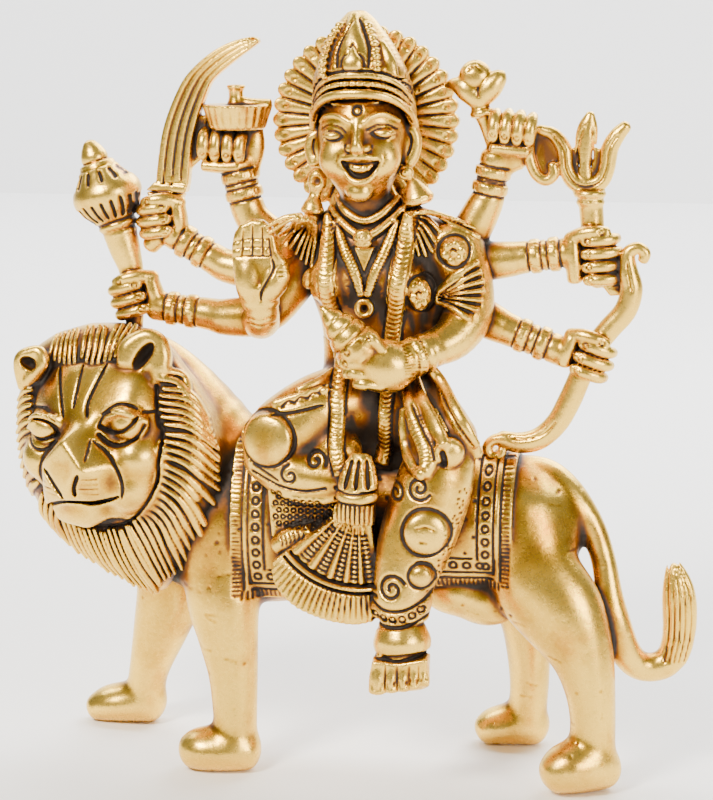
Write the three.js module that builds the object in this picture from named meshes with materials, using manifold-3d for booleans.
// A brass durga in one casting: an eight-armed goddess seated sideways on a standing lion.
// Millimetres, +Z up. The goddess faces -Y. The lion walks towards -X and turns its face to the viewer.
import * as THREE from 'three';
import { mergeVertices } from 'three/addons/utils/BufferGeometryUtils.js';
import Module from 'manifold-3d';

const wasm = await Module();
wasm.setup();

// Driving sizes in millimetres.
const height = 185;               // soles of the paws to the tip of the crown
const saddleThickness = 1.2;      // saddle cloth over the lion's hide
const saddleBorderRise = 0.8;     // border over the saddle cloth
const haloRadius = 22.5;
const haloThickness = 2.6;
const haloRays = 36;
const forearmRadius = 4.5;
const wristRadius = 3.6;
const bangleRise = 1.2;           // bangle over the skin
const bangleWidth = 2.6;
const fingerRadius = 1.45;
const bladeThickness = 3.2;
const bowWidth = 5.2;
const prongWidth = 3.6;           // trident prongs
const shaftRadius = 2.7;          // trident and mace shafts
const maceRadius = 8.3;
const maceFlutes = 6;
const discRadius = 8.3;           // the disc held up on the left
const garlandRadius = 1.9;
const tailRadius = 3.2;
const fanThickness = 8;           // pleated cloth in front of the saddle
const fanPleats = 9;
const maneLocks = 13;             // locks in the row round the face
const beardLocks = 7;             // locks in the row over the chest

// The pose is laid out on a grid of 185 modules to the height, and a module is a millimetre at the real size.
const modulesInHeight = 185;
const unit = height / modulesInHeight;
const at = (x, y, z) => new THREE.Vector3(x, y, z).multiplyScalar(unit);
const front = new THREE.Vector3(0, -1, 0);
const up = new THREE.Vector3(0, 0, 1);

// A closed three.js geometry as a solid.
function solid(geometry) {
  geometry.deleteAttribute('normal');
  geometry.deleteAttribute('uv');
  const merged = mergeVertices(geometry, 1e-5);
  const vertProperties = new Float32Array(merged.attributes.position.array);
  const triVerts = new Uint32Array(merged.index.array);
  return new wasm.Manifold(new wasm.Mesh({ numProp: 3, vertProperties, triVerts }));
}

function join(solids) {
  return solids.reduce((whole, piece) => whole.add(piece));
}

// A loft through rings. Each station is [x, y, z, half width, half depth] in modules, and the half depth
// lies towards `facing`. The ends are domed by a share of the half width. `square` gives a section with four
// corners, and `relief(corner, row)` scales one corner of one ring.
function limb(stations, { sides = 6, facing = front, dome = 0.5, square = false,
  relief = () => 1 } = {}) {
  const rows = stations.length;
  const centres = stations.map(([x, y, z]) => at(x, y, z));
  const frames = centres.map((centre, k) => {
    const along = centres[Math.min(k + 1, rows - 1)].clone().sub(centres[Math.max(k - 1,
      0)]).normalize();
    const depth = facing.clone().addScaledVector(along, -facing.dot(along)).normalize();
    return { along, depth, side: depth.clone().cross(along) };
  });
  const corners = square ? 4 : sides;
  const stretch = square ? Math.SQRT2 : 1;
  const geometry = new THREE.CylinderGeometry(1, 1, 1, corners, rows - 1, false,
    square ? Math.PI / 4 : 0);
  const position = geometry.attributes.position;
  for (let i = 0; i < position.count; i += 1) {
    const row = Math.round((0.5 - position.getY(i)) * (rows - 1));
    const [, , , width, thick = width] = stations[row];
    const { along, depth, side } = frames[row];
    const [across, deep] = [position.getX(i), position.getZ(i)];
    const point = centres[row].clone();
    if (Math.hypot(across, deep) < 0.5) {
      point.addScaledVector(along, (row === 0 ? -dome : dome) * Math.min(width, thick) * unit);
    } else {
      const corner = Math.round((Math.atan2(across,
        deep) / (2 * Math.PI)) * corners + corners) % corners;
      const scale = stretch * relief(corner, row) * unit;
      point.addScaledVector(side, across * width * scale);
      point.addScaledVector(depth, deep * thick * scale);
    }
    position.setXYZ(i, point.x, point.y, point.z);
  }
  return solid(geometry);
}

// An ellipsoid, turned by Euler angles in degrees.
function ball(centre, radii, { turn = [0, 0, 0], around = 6, rows = 4 } = {}) {
  const geometry = new THREE.SphereGeometry(1, around, rows);
  geometry.rotateX(Math.PI / 2);
  geometry.scale(...radii);
  return settled(geometry, centre, turn);
}

// A geometry in modules, turned by Euler angles in degrees and moved to its place.
function settled(geometry, centre, turn) {
  const angles = turn.map(THREE.MathUtils.degToRad);
  geometry.applyMatrix4(new THREE.Matrix4().makeRotationFromEuler(new THREE.Euler(...angles, 'ZXY')));
  geometry.translate(...centre);
  geometry.scale(unit, unit, unit);
  return solid(geometry);
}

// A head: an ellipsoid whose columns crowd towards its front, pushed out or in there by soft swellings. Each
// swelling is [right, high, half width, half height, push], measured from the ellipsoid's centre.
function modelled(centre, radii, swellings, { turn = [0, 0, 0], around = 16, rows = 12,
  crowd = 0.2 } = {}) {
  const geometry = new THREE.SphereGeometry(1, around, rows, Math.PI / 2);
  geometry.rotateX(Math.PI / 2);
  const position = geometry.attributes.position;
  for (let i = 0; i < position.count; i += 1) {
    const [x, y, z] = [position.getX(i), position.getY(i), position.getZ(i)];
    const away = Math.atan2(x, -y);
    const turned = away - crowd * Math.sin(2 * away);
    const reach = Math.hypot(x, y);
    const right = reach * Math.sin(turned) * radii[0];
    const forward = reach * Math.cos(turned);
    const high = z * radii[2];
    const push = swellings.reduce((sum, [middle, level, wide, tall, out]) =>
      sum + out * Math.exp(-(((right - middle) / wide) ** 2) - ((high - level) / tall) ** 2), 0);
    const share = Math.min(1, Math.max(0, forward * 2));
    position.setXYZ(i, right, -forward * radii[1] - push * share, high);
  }
  return settled(geometry, centre, turn);
}

// A turned form: [radius, height] pairs about its own axis, moved to its place. `flute` pulls in every second
// line of it, for a gadrooned knob or a fluted rim.
function turned(profile, centre, { axis = [0, 0, 1], around = 8, flute = 1 } = {}) {
  const points = profile.map(([r, z]) => new THREE.Vector2(r, z));
  const geometry = new THREE.LatheGeometry(points, around);
  const position = geometry.attributes.position;
  for (let i = 0; i < position.count; i += 1) {
    const line = Math.floor(i / points.length) % around;
    const share = line % 2 ? flute : 1;
    position.setXYZ(i, position.getX(i) * share, position.getY(i), position.getZ(i) * share);
  }
  const tilt = new THREE.Quaternion().setFromUnitVectors(
    new THREE.Vector3(0, 1, 0), new THREE.Vector3(...axis).normalize());
  geometry.applyQuaternion(tilt);
  return settled(geometry, centre, [0, 0, 0]);
}

// A flat form drawn in x and z modules, `thickness` deep in y about y = `middle`.
function plate(outline, middle, thickness) {
  const shape = new THREE.Shape(outline.map(([x, z]) => new THREE.Vector2(x * unit, z * unit)));
  const geometry = new THREE.ExtrudeGeometry(shape, { depth: thickness, bevelEnabled: false });
  geometry.rotateX(Math.PI / 2);
  geometry.translate(0, middle * unit + thickness / 2, 0);
  return solid(geometry);
}

// A box between two corners in modules.
function block(low, high) {
  const size = high.map((value, k) => (value - low[k]) * unit);
  const geometry = new THREE.BoxGeometry(...size);
  geometry.translate(...low.map((value, k) => value * unit + size[k] / 2));
  return solid(geometry);
}

// The lion: barrel, legs, tail, saddle cloth.
// A barrel station is [x, middle height, half width, half height].
const lionMiddle = 2;
const barrel = [
  [-50, 66, 11, 16], [-36, 62, 16.6, 22.8], [-22, 61, 17, 22.4], [10, 62, 17, 19.4],
  [37, 62.6, 16.2, 16.8],
  [50.6, 60, 8.6, 11],
];

function barrelAt(x) {
  const next = Math.max(1, barrel.findIndex(([place]) => place >= x));
  const [low, high] = [barrel[next - 1], barrel[next]];
  const share = (x - low[0]) / (high[0] - low[0]);
  return low.map((value, k) => value + (high[k] - value) * share);
}

function barrelLoft(stations) {
  const rings = stations.map(([x, growth = 0]) => {
    const [, z, width, tall] = barrelAt(x);
    return [x, lionMiddle, z, width + growth / unit, tall + growth / unit];
  });
  return limb(rings, { sides: 9, facing: up, dome: 0.2 });
}

const legs = [
  {
    bone: [[-33, -8, 58, 8.5, 7], [-30.4, -10, 38, 8.4, 7], [-28, -11, 24, 5.9, 5.8],
      [-27.3, -12, 6, 5.4, 5.6]],
    paw: [[-23, -12.4, 4.2, 4.2, 4.6], [-29, -13, 4.6, 6.4, 6.2], [-35.6, -13.6, 5, 6.8, 6.4],
      [-39.4, -13.8, 3.8, 4.8, 4.6]],
  },
  {
    bone: [[-47, 12, 56, 8, 7], [-49, 14, 42, 9.5, 7], [-53, 16.5, 29, 7.6, 6.5],
      [-57.6, 19, 15, 5.2, 5.4],
      [-59.4, 20, 5, 5, 5.4]],
    paw: [[-56.4, 20.4, 4, 3.8, 4.2], [-62, 20.4, 5.4, 6.2, 6.8], [-69, 20.4, 4.6, 6.4, 6],
      [-74.2, 20, 3, 4.4, 3.8]],
  },
  {
    bone: [[42, -7, 62, 8.5, 7], [46, -8.6, 50, 10.6, 7.8], [53.6, -10, 41.4, 10, 7.6],
      [58, -11, 33, 7.6, 6.8],
      [60.6, -12, 21, 5.6, 6], [61, -12.4, 6, 5.6, 6]],
    paw: [[65, -11, 4.4, 4.4, 4.6], [60.6, -13, 6, 6.2, 7.2], [55.6, -16, 6.6, 6.8, 7.2],
      [51.8, -18, 5, 4.8, 5.4]],
  },
  {
    bone: [[41, 11, 60, 9, 8], [41, 13, 46, 9.5, 8], [42, 15.5, 32, 6.2, 6.4], [42.6, 17.6, 18, 5, 5.4],
      [41.8, 19, 5, 4.8, 5.4]],
    paw: [[44.6, 19.4, 3.8, 4, 4.2], [40, 19.4, 5.4, 5.8, 6.6], [34.4, 18.6, 4.8, 6.2, 6],
      [30, 18, 3.4, 4.4, 4.2]],
  },
];

function lionLegs() {
  return join(legs.map(({ bone, paw }) => limb(bone,
    { sides: 6 }).add(limb(paw, { sides: 6, facing: up }))));
}

const tailRoute = [
  [38, 2, 75.4, 1.05], [46, 2, 75.2, 1.1], [52.8, 1, 71.4, 1.05], [58.6, 0, 63.5, 1], [61.8, -1, 55, 1],
  [65.6, -4, 39.5, 1.12], [68, -3, 32, 1.2], [71.8, -1, 28, 1.15], [77.5, 0, 28.8, 1.2],
  [80.9, 0, 34, 1.05],
];
const tuftRoute = [
  [79.4, 0, 31, 3.2, 3.2], [80.4, 0, 38, 4.4, 3.6], [79.8, 0, 48, 4.3, 3.2], [77.6, 0, 58, 0.4, 0.4],
];

function tail() {
  const rope = limb(tailRoute.map(([x, y, z, share]) => [x, y, z, (tailRadius * share) / unit]),
    { sides: 5 });
  return rope.add(limb(tuftRoute, { sides: 8, relief: (corner) => (corner % 2 ? 0.8 : 1) }));
}

const saddle = { left: -27.3, right: 41, hemLeft: 43.2, hemRight: 48.5, border: 8.6, step: 0.2 };

function saddleCloth() {
  const ground = saddleThickness;
  const raised = saddleThickness + saddleBorderRise;
  const { left, right, border, step } = saddle;
  const cloth = barrelLoft([
    [left, raised], [left + border, raised], [left + border + step, ground], [10, ground],
    [right - border - step, ground], [right - border, raised], [right, raised],
  ]);
  const under = limb([[-60, 0, -60 + saddle.hemLeft, 60, 60], [-4, 0, -60 + saddle.hemLeft, 60, 60],
    [30, 0, -60 + saddle.hemRight, 60, 60], [70, 0, -60 + saddle.hemRight, 60, 60]],
    { square: true, facing: up, dome: 0 });
  return cloth.subtract(under);
}

// The lion's head stands in its own frame: right, up and forward of a point between the eyes.
const headTurn = [6, 0, -18];
const headPlace = new THREE.Matrix4()
  .makeRotationFromEuler(new THREE.Euler(...headTurn.map(THREE.MathUtils.degToRad), 'ZXY'))
  .setPosition(-62.6, -21.5, 86);
const headForward = new THREE.Vector3(0, -1, 0).transformDirection(headPlace);

const onHead = (right, high, forward) => new THREE.Vector3(right, -forward,
  high).applyMatrix4(headPlace).toArray();

function lionFace() {
  const pair = (make) => [-1, 1].map(make);
  const strip = (points, sides = 4) => limb(points.map(([right, high, forward, ...size]) => [
    ...onHead(right, high, forward), ...size]), { sides, facing: headForward });
  const twice = (swelling) => [swelling, [-swelling[0], ...swelling.slice(1)]];
  const skull = modelled(onHead(0, -3, -12), [18.6, 12, 20.6], [
    [0, -13, 10, 6, 7],
    [0, -19.5, 6, 3.6, 4],
    ...twice([10, 3, 3.6, 3.4, -2.2]),
    ...twice([9, 10, 6, 3.4, 2]),
    ...twice([16, -2, 4, 8, 2]),
  ], { turn: headTurn, around: 15, rows: 10 });
  const bridge = strip([[0, 9, -3, 2.6, 2], [0, 2, -0.6, 3, 3], [0, -6, 5, 5, 3.6],
    [0, -13.4, 6.6, 3.4, 2.4]], 8);
  const lids = pair((side) => ball(onHead(side * 10, 0.8, -3.2), [4, 2.4, 2],
    { turn: headTurn }));
  const ears = pair((side) => {
    const place = side < 0 ? [-17.4, 11.4, -9.4] : [15, 16.2, -9.6];
    const tilt = [headTurn[0], side * 22, headTurn[2]];
    const outer = ball(onHead(...place), [6.4, 4, 7.4], { turn: tilt });
    const inner = ball(onHead(place[0], place[1], place[2] + 4), [3.6, 3.6, 4.8],
      { turn: tilt, around: 5 });
    return outer.subtract(inner);
  });
  const mouth = strip([[-12, -18.8, -3, 0.6], [0, -17.2, 5, 0.9, 2.4], [12, -18.8, -3, 0.6]]);
  return join([skull, bridge, ...lids, ...ears]).subtract(mouth);
}

// The mane: lofts whose rings are gathered into locks by alternate corners.
function mane() {
  const gather = (low, high) => (corner, row) => (corner % 2 ? low - 0.01 * row : high);
  const ruff = limb([
    [...onHead(0, -1, -4), 18, 20.4], [-60.4, -7, 80, 25.4, 27.6], [-57.6, 1, 78.4, 27.4, 30],
    [-50, 9, 77.4, 21, 24],
  ], { sides: maneLocks * 2, facing: up, relief: gather(0.93, 1.01) });
  const beard = limb([[-58.6, -6, 66, 18, 11], [-56.5, -7.6, 57, 15.4, 10.6],
    [-50.2, -5, 43.4, 3.6, 5]],
    { sides: beardLocks * 2, relief: gather(0.88, 1.03) });
  const nape = limb([[-50, 2, 91, 14, 15], [-42, 2, 85, 14, 14.4], [-29.4, 2, 75, 11, 10]],
    { sides: 10, facing: up, relief: gather(0.93, 1.01) });
  return join([ruff, beard, nape]);
}

// The goddess: body, legs and drapery.
function torso() {
  const trunk = limb([
    [6.8, 1, 82, 18.6, 13], [6.6, -1, 91, 16.4, 12], [6.6, -2.8, 103, 12.8, 8.4],
    [6.2, -3, 114, 13.4, 8.8],
    [4.9, -2.6, 127, 18.2, 9.4], [4.2, -1.4, 135.6, 15, 6.6], [3.7, -2.6, 140, 6.4, 5.6],
    [3.6, -3.2, 144, 5.6, 5.4],
  ], { sides: 8 });
  const breasts = [-1, 1].map((side) => ball([5 + side * 8, -9.6, 121.5], [6, 5, 6.4]));
  return join([trunk, ...breasts, ball([24, -1.5, 130.2], [7, 6.4, 6.6])]);
}

function rightLeg() {
  const thigh = limb([[4, -6, 93, 9.5, 9], [-5, -12, 91.4, 8.8, 9], [-13, -16, 86.6, 8.4, 8.4],
    [-18.8, -17.5, 83, 7.2, 7.4]]);
  const shin = limb([[-17.6, -18, 82, 7.2, 7.4], [-11, -20.5, 77.6, 6.8, 6.8], [3, -22, 75, 5, 5]],
    { sides: 6 });
  const boss = turned([[0, 0], [5, 0], [4.3, 1.6], [0, 2.8]], [-16.3, -24, 86],
    { axis: [-0.25, -1, 0.1] });
  const foot = ball([-11.4, -20.4, 60.4], [5.4, 3.4, 3.2], { turn: [0, 28, 0] });
  const hem = limb([[-22.6, -16.4, 79.4, 1.6], [-18, -21.4, 73.6, 1.6], [-9, -24.4, 70, 1.6],
    [-1, -25.5, 70.6, 1.6]],
    { sides: 4 });
  return join([thigh, shin, boss, foot, hem]);
}

function leftLeg() {
  const thigh = limb([[13, -5, 91, 10, 10], [20, -12, 89.4, 8.6, 9], [26.4, -18.5, 86, 7.6, 7.6]],
    { sides: 6 });
  const shin = limb([
    [25, -17.5, 88, 7.2, 7], [23.6, -20.5, 79.4, 9.4, 7.6], [19.8, -22, 64, 9.4, 7.2],
    [15.8, -24, 48.8, 7.2, 6.2], [15.7, -24, 48.2, 8, 7], [15.4, -24, 43.6, 7.5, 6.8],
    [15.3, -24, 42.8, 5.8, 5.4],
    [15.6, -24.6, 41, 5.9, 5.5], [15.6, -24.7, 40, 6.9, 6.4], [15.6, -24.8, 37, 6.8, 6.4],
    [15.6, -25, 36, 5.9, 5.5],
    [15.8, -25.8, 27.6, 5.8, 4.4],
  ], { dome: 0.2 });
  const toes = fist([15.8, -27.6, 31], [1, 0, 0.12], [0.05, 0.4, 1],
    { fingers: 5, pitch: 2.5, length: 9, depth: 3 });
  const discs = [[21.9, -27.6, 66.2, 5.1, 2], [21.8, -28, 55.6, 2.7, 1.6],
    [27.8, -24.8, 85.9, 2.7, 1.8]].map(
    ([x, y, z, r, rise]) => turned([[0, -1], [r, -1], [r * 0.9, 0.8], [0, rise]], [x, y, z],
      { axis: [0.2, -1, 0], around: 6 }));
  return join([thigh, shin, toes, ...discs]);
}

// The pleated fan of cloth that hangs between the legs: a box bent round an arc and folded in and out at each
// pleat, with a raised border along its hem.
const fan = { x: 5.2, z: 71.5, from: 214, to: 282, face: -23.4, fold: 1.2, neck: 4, band: 22,
  hem: 29.6, rise: 1.4 };

function fanCloth() {
  const rings = [fan.hem, fan.band, fan.neck];
  const geometry = new THREE.BoxGeometry(1, 1, 1, fanPleats * 2, rings.length - 1, 1);
  const position = geometry.attributes.position;
  for (let i = 0; i < position.count; i += 1) {
    const share = position.getX(i) + 0.5;
    const ring = Math.round((position.getY(i) + 0.5) * (rings.length - 1));
    const angle = THREE.MathUtils.degToRad(fan.from + (fan.to - fan.from) * share);
    const inFront = position.getZ(i) > 0;
    const lift = (Math.round(share * fanPleats * 2) % 2 ? fan.fold : 0) + (ring < 2 ? fan.rise : 0);
    const y = inFront ? fan.face - lift : fan.face + fanThickness / unit;
    position.setXYZ(i, fan.x + rings[ring] * Math.cos(angle), y, fan.z + rings[ring] * Math.sin(angle));
  }
  return settled(geometry, [0, 0, 0], [0, 0, 0]);
}

// Garlands, tassel, scarf and necklaces over the front of the body.
const garlandRoutes = [
  [[-4.9, -6, 137], [-4.8, -11.6, 129], [-4.2, -12.8, 120], [-0.6, -13.2, 101], [0.4, -22.6, 87],
  [2, -27, 77]],
  [[13.9, -6, 138], [14.1, -11.8, 129], [13.6, -13, 119], [11.4, -14.8, 101], [11.6, -23.6, 87],
  [9.8, -27.2, 77]],
];

function ornaments() {
  const share = garlandRadius / unit;
  const garlands = garlandRoutes.map((route) => limb(route.map((point) => [...point, share * 0.9,
    share * 0.6]),
    { square: true }));
  const inner = [-1, 1].map((side) => limb([[5 + side * 6.8, -9, 136], [5.2 + side * 3.6, -11.8, 127],
    [5.2 + side * 0.6, -12.2, 118.5]].map((point) => [...point, 0.9, 0.8]), { square: true }));
  const pendant = turned([[0, -1], [2.2, -1], [2.2, 0.8], [0, 0]], [5, -12.2, 116.2],
    { axis: [0, -1, 0.15], around: 6 });
  const tassel = limb([
    [6.3, -26.5, 82, 2.6, 2], [6.3, -27, 78, 3.9, 2.6], [6.2, -27.2, 73.4, 3.5, 2.4],
    [6.2, -27.2, 73, 4.4, 3.1], [5.7, -27, 66.6, 5, 2.4],
  ], { sides: 8, dome: 0.1, relief: (corner,
    row) => (corner % 2 && row !== 3 ? 0.84 : 1) });
  const rosettes = [[26.4, -7.6, 128.6, 4.1], [18.6, -11.6, 118.6, 3.4]].map(([x, y, z, r]) => turned(
    [[0, -1], [r, -1], [r * 0.8, 1], [0, 1.4]], [x, y, z],
    { axis: [0.45, -1, 0.1], around: 6, flute: 0.84 }));
  const bud = ball([-8.4, -9.6, 122], [2, 2, 2.4]);
  return join([...garlands, ...inner, pendant, tassel, ...rosettes, bud]);
}

// A fold of cloth is a thin ridge between two ends, bowed at its middle.
const folds = [
  [[21, -13.6, 117.4], [27, -11.6, 121], [32, -5.6, 125.4]],
  [[21, -13.6, 116.2], [27.5, -12, 116.6], [32.6, -6, 118.4]],
  [[14.8, -5.8, 138], [22, -7.6, 134], [27, -7.8, 128]],
  [[-7.6, -3.6, 136], [-10.4, -6, 132], [-12, -6.6, 127]],
  [[18, -17, 96], [23.2, -21.4, 91], [29.4, -23.4, 84.4], [30.6, -23.4, 81.6]],
  [[16.6, -18, 95.4], [19.6, -23.6, 89], [22.4, -26.4, 82.6], [22, -27, 77.6]],
];

function drapery() {
  const ridges = folds.map((route) => {
    const width = route.length > 3 ? 1.8 : 1.4;
    return limb(route.map((point, k) => [...point, k && k < route.length - 1 ? width : width * 0.6]),
      { sides: 4 });
  });
  return join(ridges);
}

// Head, crown and halo.
function head() {
  const pair = (make) => [-1, 1].map(make);
  const skull = modelled([3.4, -3.6, 152], [10, 9.4, 13], [
    [0, 1.6, 1.4, 3.4, 2],
    [-4.4, 4.2, 2.2, 1.8, -1.1],
    [4.4, 4.2, 2.2, 1.8, -1.1],
    [0, -4, 3.4, 2, 0.9],
    [0, -9.6, 3, 2.6, 2.4],
  ], { around: 13, rows: 10 });
  const lips = limb([-1, 0, 1].map((side) => [3.5 + side * 3.8, -13 + 1.4 * side * side,
    148.2 + side * side, 1.7 - side * side,
    0.9]), { sides: 4, facing: front });
  const ears = pair((side) => ball([3 + side * 10.2, -3, 151.4], [2, 2.6, 5.6]));
  const earrings = [[14.9, 141.4], [-9.6, 138.8]].map(([x, rim]) => turned(
    [[0, 0], [3.7, 0.2], [1.3, 4], [2.4, 6.4], [0, 10.2]], [x, -4.4, rim],
    { axis: [-Math.sign(x) * 0.25, 0, 1], around: 6 }));
  return join([skull, lips, ...ears, ...earrings]);
}

function crown() {
  const base = [[160, 12.2], [162, 12.3], [162.3, 11.5], [162.7, 12.6], [164.8, 12.5], [165.2, 11.4],
    [165.5, 12], [167.2, 11.6]];
  const cap = [[172, 10.4], [177, 8.3], [181, 5.8], [184.4, 2.4]];
  const body = limb([...base, ...cap].map(([z, half]) => [3.3 - (z - 160) * 0.075,
    -2.9 + (z - 160) * 0.05, z, half,
    half * 0.8]), { sides: 10, dome: 0.3, relief: (corner,
      row) => (row === 3 || row === 4 ? 0.97 + 0.06 * (corner % 2) : 1) });
  const leaf = limb([[2.4, -11.4, 168.6, 1.8, 1], [2.2, -10.8, 172.6, 3.4, 1.8],
    [1.9, -9, 177.4, 2.6, 1.6],
    [1.6, -5, 183.4, 0.7, 0.8]], { sides: 4 });
  return join([body, leaf]);
}

const haloPlace = [2.2, 6.6, 159.3];

// The halo is a disc whose rim is scalloped, with a ray creased from the centre to each scallop.
function halo() {
  const geometry = new THREE.CylinderGeometry(haloRadius, haloRadius, haloThickness, haloRays * 2, 1);
  const position = geometry.attributes.position;
  for (let i = 0; i < position.count; i += 1) {
    const [x, y, z] = [position.getX(i), position.getY(i), position.getZ(i)];
    const corner = Math.round((Math.atan2(x, z) / Math.PI) * haloRays + haloRays * 2);
    const valley = Math.hypot(x, z) > haloRadius / 2 && corner % 2 === 1;
    position.setXYZ(i, x * (valley ? 0.955 : 1), y * (valley ? 0.45 : 1), z * (valley ? 0.955 : 1));
  }
  const { x, y, z } = at(...haloPlace);
  geometry.translate(x, y, z);
  return solid(geometry);
}

// An arm runs from the shoulder to the wrist, and two bangles sit at shares of its last stretch.
const wrist = wristRadius / unit;
const forearm = forearmRadius / unit;

function arm(route, { shares = [0.35, 0.75], grow = 1 } = {}) {
  const last = route[route.length - 1];
  const before = route[route.length - 2];
  const run = new THREE.Vector3(...last.slice(0, 3)).distanceTo(new THREE.Vector3(...before.slice(0,
    3)));
  const half = bangleWidth / unit / run / 2;
  const station = (share, rise) => last.map((value,
    k) => before[k] + (value - before[k]) * share + (k === 3 ? rise : 0));
  const high = (bangleRise / unit) * grow;
  const [first, second] = shares;
  const rings = [station(first - half, 0), station(first, high), station((first + second) / 2, 0),
    station(second, high),
    station(second + half, 0)];
  return limb([...route.slice(0, -1), ...rings, last], { sides: 6 });
}

// A fist: fingers laid side by side along `stack`, each running along `run` over the front of what is held.
// The four fingers are one loft along `run` with a scalloped section.
function fist(centre, stack, run, { fingers = 4, pitch = (fingerRadius * 2) / unit, length = 8.6,
  depth = 3.4 } = {}) {
  const pile = new THREE.Vector3(...stack).normalize();
  const across = new THREE.Vector3(...run).normalize();
  across.addScaledVector(pile, -across.dot(pile)).normalize();
  const out = across.clone().cross(pile).normalize();
  if (out.y > 0) {
    out.negate();
    pile.negate();
  }
  const half = (pitch * fingers) / 2;
  const outline = [[-half * 0.9, -depth * 0.7]];
  for (let k = 0; k < fingers; k += 1) {
    const edge = -half + k * pitch;
    outline.push([edge, depth * 0.4], [edge + pitch * 0.5, depth]);
  }
  outline.push([half, depth * 0.4], [half * 0.9, -depth * 0.7]);
  const shape = new THREE.Shape(outline.map(([a, b]) => new THREE.Vector2(a, b)));
  const geometry = new THREE.ExtrudeGeometry(shape, { depth: 1, steps: 2, bevelEnabled: false });
  const position = geometry.attributes.position;
  const swell = [0.7, 1.1, 0.7];
  for (let i = 0; i < position.count; i += 1) {
    const row = Math.round(position.getZ(i) * 2);
    const [a, b] = [position.getX(i), position.getY(i)];
    const lift = b > 0 ? swell[row] : 1;
    const reach = (row - 1) * length * 0.5;
    const point = new THREE.Vector3(...centre).addScaledVector(pile, a * (0.9 + 0.1 * swell[row]))
      .addScaledVector(across, reach).addScaledVector(out, b * lift).multiplyScalar(unit);
    position.setXYZ(i, point.x, point.y, point.z);
  }
  return solid(geometry);
}

function thumb(from, to) {
  const thick = fingerRadius / unit;
  return limb([[...from, thick * 1.1], [...to, thick]], { sides: 4 });
}

function maceArm() {
  const limbs = arm([[-12.4, -1.5, 126, 5.4], [-17, -4, 117, 5.2], [-22, -5, 112, 5],
    [-31, -3.6, 111.8, forearm],
    [-37, -2.2, 112.3, 3.6], [-49, -0.6, 113.8, wrist]]);
  const hand = fist([-54, -0.6, 115.8], [-0.3, 0, 1], [-1, 0, -0.3], { length: 10 });
  const axis = [-0.348, 0, 1];
  const r = maceRadius / unit;
  const knob = turned([[0, -7], [5, -7], [r, -1], [4.2, 6.6], [4, 9.4], [0, 13.6]],
    [-61.4, 0, 141.3], { axis, around: maceFlutes * 2, flute: 0.88 });
  const stem = limb([[-54.9, -0.4, 108, 2.2], [-55.2, 0, 122.4, shaftRadius / unit],
    [-57.4, 0, 131.4, 4.8], [-59, 0, 136, 4]]);
  return join([limbs, hand, knob, stem, thumb([-51, -2.8, 120.6], [-56, -3.4, 119.6])]);
}

const blade = [
  [-24.4, 179], [-29.9, 177.7], [-35.5, 174.6], [-40.8, 169.6], [-44.1, 163.6], [-46.5, 157.3],
  [-47.6, 151],
  [-48.6, 141.6], [-40.4, 141.6], [-39.6, 152], [-38.6, 158.8], [-36, 164.3], [-32, 170.9],
  [-27.7, 175], [-23.7, 177.6],
];

function swordArm() {
  const limbs = arm([[-12.4, 0, 126.6, 5], [-22, 0.6, 123.8, 4.6], [-31, 0.6, 123.6, forearm],
    [-35, 0.4, 125.4, 3.6],
    [-44, 0, 131.2, wrist]]);
  const hand = fist([-47.4, -0.2, 135.2], [-0.2, 0, 1], [-1, 0, 0.2], { fingers: 3, length: 10 });
  const steel = plate(blade, 0, bladeThickness);
  const hilt = limb([[-45, 0, 144.6, 3.6, 2.6], [-46, 0, 142.4, 6, 2.6], [-46.4, 0, 141, 5.6, 2.6],
    [-47, 0, 139, 2.6],
    [-48.6, 0, 132, 2.5], [-52, 0, 129.4, 1.8]]);
  return join([limbs, hand, steel, hilt]);
}

function discArm() {
  const limbs = arm([[-14, 1, 129, 5], [-20, 1, 130.6, 4.8], [-25, 1, 135.6, forearm],
    [-27.6, 1, 139, 3.8],
    [-29.4, 1.2, 149, 4.3]], { shares: [0.16, 0.5] });
  const hand = fist([-31.2, 0, 152.4], [1, 0, -0.06], [0.05, 0, 1], { length: 9 });
  const back = limb([[-28.4, 2.2, 147, 4.6, 2], [-27, 2.4, 158, 4, 2]], { sides: 5 });
  const r = discRadius / unit;
  const dish = turned([[0, -3.2], [r * 0.86, -3.2], [r, -0.4], [r, 2.4], [0, 2.8]], [-28.2, 0, 160.6],
    { around: 10, flute: 0.92 });
  const knob = limb([[-28.4, 0, 162.6, 2.2], [-28.5, 0, 167.8, 1.8]], { sides: 5 });
  const cone = limb([[-27, 0, 163, 1.2], [-21.4, 0, 163.4, 2.3]], { sides: 5 });
  return join([limbs, hand, back, dish, knob, cone]);
}

function blessingArm() {
  const palm = limb([[-21.6, -5, 111.6, 4.6, 4.6], [-20.4, -10, 113.4, 4], [-19.4, -13, 115.8, 3.6, 3],
    [-19.6, -14.4, 119, 6.2, 2.8],
    [-20, -14.6, 126, 6.2, 2.4]]);
  const fingers = [[-24.6, 132.6], [-22.2, 135.4], [-19.6, 136.4],
    [-17, 135.2]].map(([x, tip], k) => limb([
    [-24 + k * 2.4, -14.8, 124, 1.3], [x, -15.3, tip, 1.25]], { sides: 4 }));
  const digit = limb([[-15.4, -15, 119.4, 1.9], [-13.7, -15.4, 125, 1.6], [-14.2, -15.3, 133, 1.1]],
    { sides: 4 });
  return join([palm, ...fingers, digit]);
}

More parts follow.
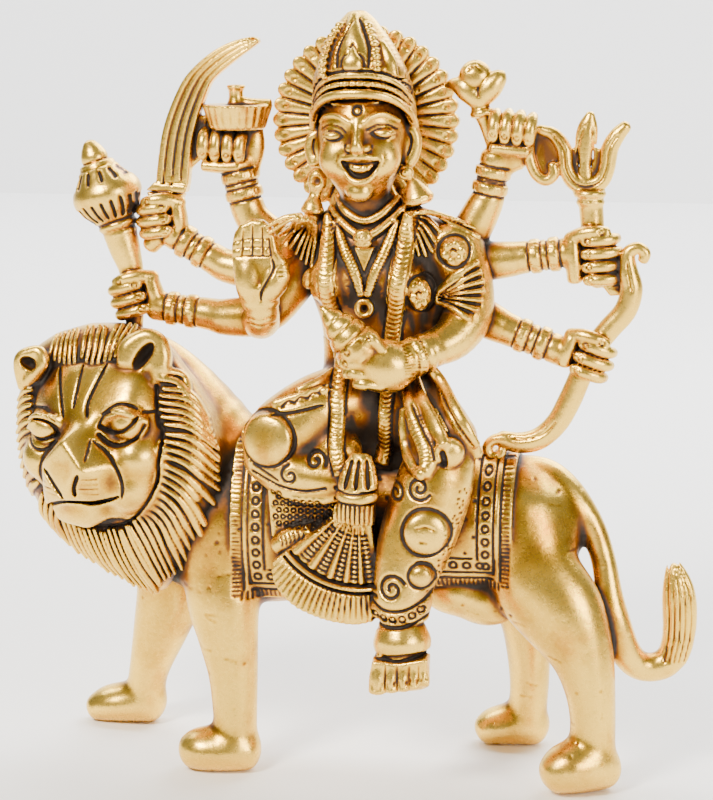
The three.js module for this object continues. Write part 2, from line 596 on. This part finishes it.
function lotusArm() {
  const limbs = arm([[26, 0.6, 129, 5], [30.6, 1, 136, forearm], [32.2, 1, 140, 3.8],
    [34.6, 0.6, 151, wrist]],
    { shares: [0.3, 0.64] });
  const hand = fist([38, 0, 156.2], [1, 0, -0.1], [0.05, 0, 1], { length: 9.6 });
  const palm = limb([[34.6, 0.6, 149, 3.2], [38.6, 0.8, 153.6, 5.4, 3.4], [38, 0.8, 157, 5, 3]],
    { sides: 5 });
  const stem = limb([[33.6, 0, 155, 1.8], [31, 0, 162.6, 1.9]], { sides: 5 });
  const bud = turned([[0, -5.4], [4.6, -2.4], [6.4, 2.4], [2.6, 2.8], [3, 5.4], [0, 8]],
    [29.6, 0, 167.4],
    { axis: [-0.1, -0.15, 1], flute: 0.72 });
  return join([limbs, hand, palm, stem, bud]);
}

const serpent = [[45.4, -0.6, 158.4, 1.3], [43.2, -1, 156.4, 1.3], [43, -1, 151.8, 1.3],
  [44.4, -1, 147.4, 1.3],
  [46.6, -1, 146, 1.3], [48.6, -1, 147.4, 1.5], [48.8, -1, 149.6, 1.4]];

function tridentArm() {
  const limbs = arm([[27.6, 1, 125.6, 5], [34, 1, 126, 4.4], [40, 1, 127, forearm * 0.92],
    [43, 0.8, 127.6, 3.5],
    [53, 0.4, 128.9, wrist]], { shares: [0.2, 0.56] });
  const hand = fist([58.8, -0.2, 127.4], [-0.08, 0, 1], [1, 0, 0], { length: 11, pitch: 3.3 });
  const half = prongWidth / unit / 2;
  const fork = limb([[45, 0, 159, half * 0.4], [49.6, 0, 155.4, half * 0.9], [51.6, 0, 148.4, half],
    [56, 0, 145, half],
    [60.6, 0, 148.4, half], [62.2, 0, 155.4, half * 0.9], [65.6, 0, 159, half * 0.4]], { sides: 4 });
  const centre = limb([[56, 0, 144, half * 0.9], [55.7, 0, 150, half * 0.85],
    [55.9, 0, 155.4, half * 1.5],
    [56.5, 0, 162.4, half * 0.3]], { sides: 4 });
  const pole = limb([[60.2, 0, 117.6, 2.2], [58.4, 0, 124, shaftRadius / unit],
    [57.3, 0, 141, shaftRadius / unit],
    [57.1, 0, 142.4, 4.3], [56.5, 0, 145.4, 3.6]]);
  return join([limbs, hand, fork, centre, pole,
    limb(serpent, { sides: 4 })]);
}

const bowRoute = [
  [70.6, 127.6, 0.5], [69.6, 130.4, 0.75], [66.6, 128.8, 0.9], [67.4, 120.6, 1], [65.6, 114.6, 1.05],
  [59.4, 107, 1.05],
  [55, 97.4, 1.05], [51.6, 89.6, 1.05], [47.2, 84.2, 1], [41.6, 82.6, 1], [35, 83, 0.75],
  [36, 79.8, 0.5],
];

function bowArm() {
  const limbs = arm([[27, -1, 115.6, 4.8], [32, -1, 113, 4.4], [37, -1, 110.6, forearm * 0.92],
    [40, -1.1, 109.3, 3.5],
    [51, -2, 105.2, wrist]], { shares: [0.2, 0.55] });
  const hand = fist([57.2, -2.4, 103.8], [0.3, 0, 1], [1, 0, -0.3], { length: 10.6 });
  const half = bowWidth / unit / 2;
  const stave = limb(bowRoute.map(([x, z, share]) => [x, -2, z, half * share, half * share * 0.85]),
    { sides: 4 });
  return join([limbs, hand, stave, thumb([52.6, -4.6, 108.6], [57.4, -5.6, 111.4])]);
}

function conchArm() {
  const upper = limb([
    [26, -2.4, 129, 6.6], [29.6, -5, 116, 6.2], [27, -9.8, 108.6, 5.4], [21, -14.6, 107, 4.2],
    [20, -15.6, 106.6, 5],
    [15.8, -18.4, 105.2, 4.8], [15, -18.8, 105, 3.9], [11.6, -20.8, 104.2, 6.2, 3.6],
    [6.6, -22, 103.4, 5.6, 3.2],
  ]);
  const conch = turned([[0, -9], [5, -6.4], [5.6, 0], [4.8, 3], [5.2, 4], [3.5, 7], [3.8, 8], [0, 14]],
    [5.6, -18.6, 107], { axis: [-0.64, 0, 0.76], around: 6 });
  const fingers = [[9.6, 109.4, 2.2, 108.2], [7, 105, 0.9, 103.8], [8.4, 100.6, 2.6, 99.2]].map(
    ([x0, z0, x1, z1]) => limb([[x0 + 3, -22.4, z0 - 0.6, 1.7],
      [(x0 + x1) / 2, -25, (z0 + z1) / 2, 1.9],
      [x1, -23.8, z1, 1.3]], { sides: 4 }));
  return join([upper, conch, ...fingers]);
}

// The rough stub of the pouring gate under the belly.
const gateStub = ball([30, -4, 45], [11, 7.5, 8], { turn: [0, 12, 0] });

const casting = join([
  barrelLoft(barrel.map(([x]) => [x])), lionLegs(), tail(), saddleCloth(), mane(), lionFace(), gateStub,
  torso(), rightLeg(), leftLeg(), fanCloth(), ornaments(), drapery(),
  halo(), head(), crown(),
  maceArm(), swordArm(), discArm(), blessingArm(), lotusArm(), tridentArm(), bowArm(), conchArm(),
]).subtract(block([-500, -500, -200], [500, 500, 0]));

function asMesh(whole, name, material) {
  const { vertProperties, triVerts } = whole.getMesh();
  const geometry = new THREE.BufferGeometry();
  geometry.setAttribute('position', new THREE.BufferAttribute(vertProperties, 3));
  geometry.setIndex(new THREE.BufferAttribute(triVerts, 1));
  geometry.computeBoundingBox();
  const mesh = new THREE.Mesh(geometry, material);
  mesh.name = name;
  return mesh;
}

const brass = new THREE.MeshStandardMaterial({ color: 0xc79a45, roughness: 0.32, metalness: 1 });
const durga = asMesh(casting, 'durga_on_lion', brass);
const box = durga.geometry.boundingBox;
durga.position.set(-(box.min.x + box.max.x) / 2, -(box.min.y + box.max.y) / 2, -box.min.z);

const model = new THREE.Group();
model.name = 'durga';
model.add(durga);

export default model;
